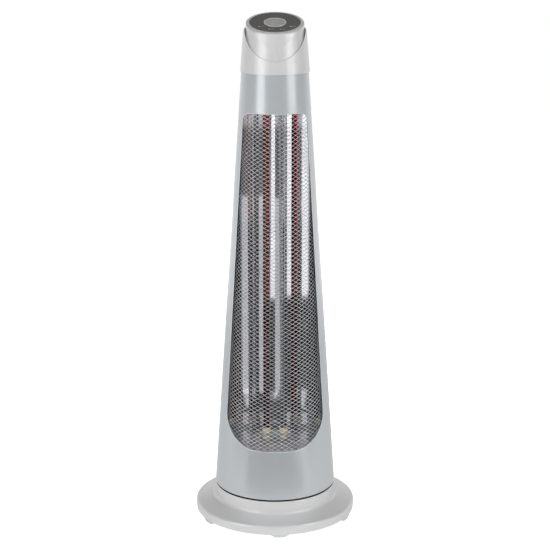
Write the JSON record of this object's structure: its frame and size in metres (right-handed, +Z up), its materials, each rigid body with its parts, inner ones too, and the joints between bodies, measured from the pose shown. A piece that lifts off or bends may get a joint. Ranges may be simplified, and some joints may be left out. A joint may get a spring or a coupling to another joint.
{
  "type": "halogen heater",
  "caption": "Free-standing tower heater: tapered tower with quartz tubes, reflector and expanded-metal grille, turning on a round base, with a push button on its tilted top panel.",
  "frame": {"origin": "on the floor, under the centre of the round base", "axes": "+Z up along the tower's axis, front with the window towards -Y, +X to the right seen from the front"},
  "size_m": [0.25, 0.25, 0.7775],
  "materials": {
    "silver_paint": "satin silver metallic paint on moulded plastic",
    "silver_blue_paint": "glossy silver-blue metallic paint on moulded plastic",
    "silver_plastic": "silver-grey moulded plastic",
    "rubber": "black rubber",
    "screw_steel": "zinc-plated screws",
    "black_plastic": "black plastic",
    "dark_plastic": "dark grey plastic",
    "white_plastic": "white low-friction plastic",
    "zinc_steel": "zinc-plated sheet and turned steel",
    "bright_steel": "bright plated expanded metal",
    "mirror_aluminium": "polished aluminium sheet",
    "ruby_quartz": "dark ruby quartz glass",
    "clear_quartz": "clear quartz glass, slightly smoky",
    "tungsten": "wound tungsten wire",
    "ceramic": "unglazed beige ceramic",
    "board": "green circuit board",
    "yellow_plastic": "yellow capacitor case",
    "green_plastic": "green terminal block",
    "black_gloss": "smooth black panel",
    "satin_trim": "pale satin ring",
    "lens": "clear diffusing lens",
    "lamp": "indicator lamps",
    "grey_button": "warm grey satin button"
  },
  "bodies": {
    "base": {"base_cover": "silver_paint", "base_tray": "silver_plastic", "foot_pads": "rubber", "base_screws": "screw_steel", "cord_bush": "black_plastic", "tilt_switch": "white_plastic", "swing_motor": "zinc_steel", "motor_screws": "screw_steel", "swivel_bush": "white_plastic", "thrust_ring": "dark_plastic"},
    "crank": {"motor_shaft": "zinc_steel", "crank": "white_plastic"},
    "tower": {"turntable": "dark_plastic", "spindle_nut": "zinc_steel", "turntable_screws": "screw_steel", "front_housing": "silver_blue_paint", "rear_housing": "silver_blue_paint", "housing_screws": "screw_steel", "grille": "bright_steel", "reflector": "mirror_aluminium", "lower_shelf": "zinc_steel", "upper_shelf": "zinc_steel", "left_tube": "ruby_quartz", "right_tube": "clear_quartz", "left_filament": "tungsten", "right_filament": "tungsten", "lower_left_cap": "ceramic", "lower_right_cap": "ceramic", "upper_left_cap": "ceramic", "upper_right_cap": "ceramic", "lower_tube_bracket": "zinc_steel", "upper_tube_bracket": "zinc_steel", "thermal_cutout": "ceramic", "power_board": "board", "relays": "black_plastic", "filter_capacitor": "yellow_plastic", "terminal_block": "green_plastic", "board_screws": "screw_steel", "head_collar": "silver_paint", "head_core": "silver_paint", "head_screws": "screw_steel", "control_panel": "black_gloss", "button_bezel": "satin_trim", "indicator_lenses": "lens", "control_board": "board", "tact_switch": "black_plastic", "indicator_lamps": "lamp"},
    "power_button": {"power_button": "grey_button"}
  },
  "joints": [
    {"name": "oscillation", "type": "hinge", "parent": "base", "child": "tower", "pos_m": [0, 0, 0.04], "axis": [0, 0, 1], "range_deg": [-30, 30]},
    {"name": "crank_turn", "type": "hinge", "parent": "base", "child": "crank", "pos_m": [0, 0.05, 0.04], "axis": [0, 0, 1], "range_deg": [-45, 45]},
    {"name": "button_press", "type": "slide", "parent": "tower", "child": "power_button", "axis": [0, 0.2957, -0.9553], "range_m": [0, 0.0012], "stiffness_N_per_m": 400}
  ],
  "couplings": [
    {"joint": "crank_turn", "follows": "oscillation", "ratio": -1.5}
  ]
}
